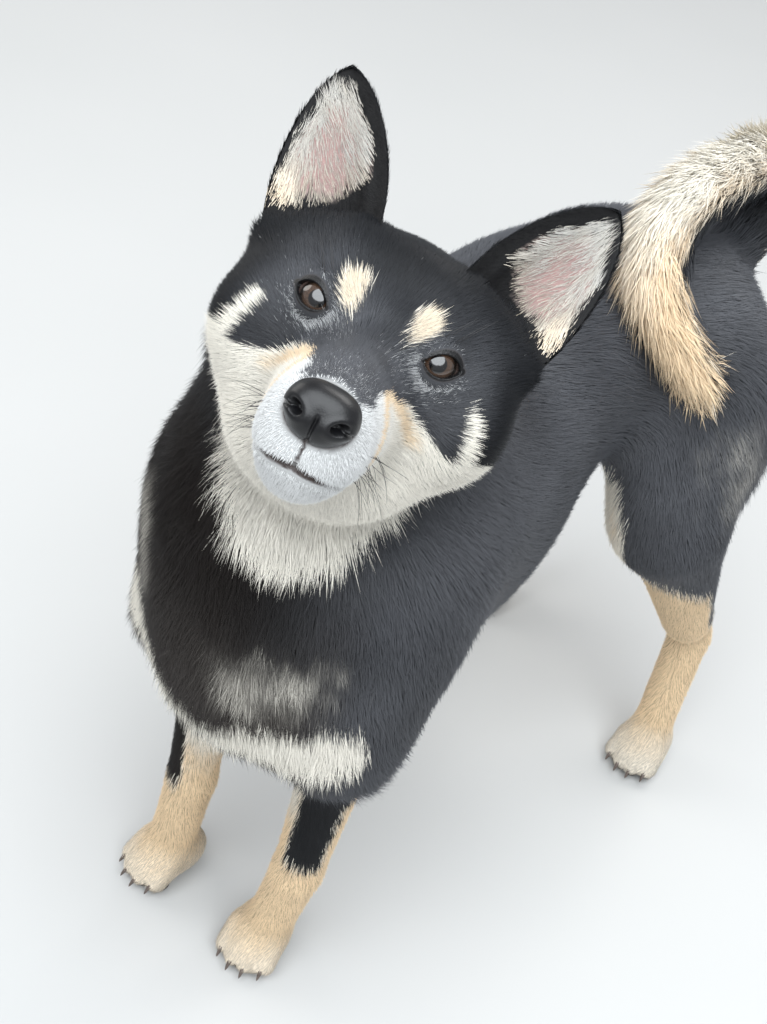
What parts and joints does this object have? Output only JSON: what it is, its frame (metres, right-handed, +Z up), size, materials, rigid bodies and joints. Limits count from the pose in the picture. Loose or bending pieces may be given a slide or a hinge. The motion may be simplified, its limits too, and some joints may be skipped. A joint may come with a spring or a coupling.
{
  "type": "shiba inu dog model",
  "caption": "Still, life-size museum model of a standing black and tan shiba inu dog, head raised and turned to its left, tail curled over the back.",
  "frame": {"origin": "on the floor, under the middle of the whole dog's bounding box", "axes": "+Z up, the dog faces -Y, and its left side is +X"},
  "size_m": [0.214, 0.523, 0.5352],
  "materials": {
    "coat": "dense short fur, black to dark brown-grey with tan and cream markings",
    "ear": "short black fur behind, pinkish skin with cream hairs inside",
    "nose_leather": "moist black leather, finely grained",
    "eye": "wet gloss over a dark brown iris and black pupil",
    "claw": "dark horn, satin"
  },
  "bodies": {
    "root": {"ear_left": "ear", "ear_right": "ear", "eye_left": "eye", "eye_right": "eye", "fore_claw_left_1": "claw", "fore_claw_left_2": "claw", "fore_claw_left_3": "claw", "fore_claw_left_4": "claw", "fore_claw_right_1": "claw", "fore_claw_right_2": "claw", "fore_claw_right_3": "claw", "fore_claw_right_4": "claw", "foreleg_left": "coat", "foreleg_right": "coat", "forepaw_left": "coat", "forepaw_right": "coat", "head": "coat", "hind_claw_left_1": "claw", "hind_claw_left_2": "claw", "hind_claw_left_3": "claw", "hind_claw_left_4": "claw", "hind_claw_right_1": "claw", "hind_claw_right_2": "claw", "hind_claw_right_3": "claw", "hind_claw_right_4": "claw", "hindpaw_left": "coat", "hindpaw_right": "coat", "neck": "coat", "nose": "nose_leather", "shank_left": "coat", "shank_right": "coat", "tail_arch": "coat", "tail_root": "coat", "tail_tip": "coat", "thigh_left": "coat", "thigh_right": "coat", "trunk": "coat"}
  },
  "joints": []
}
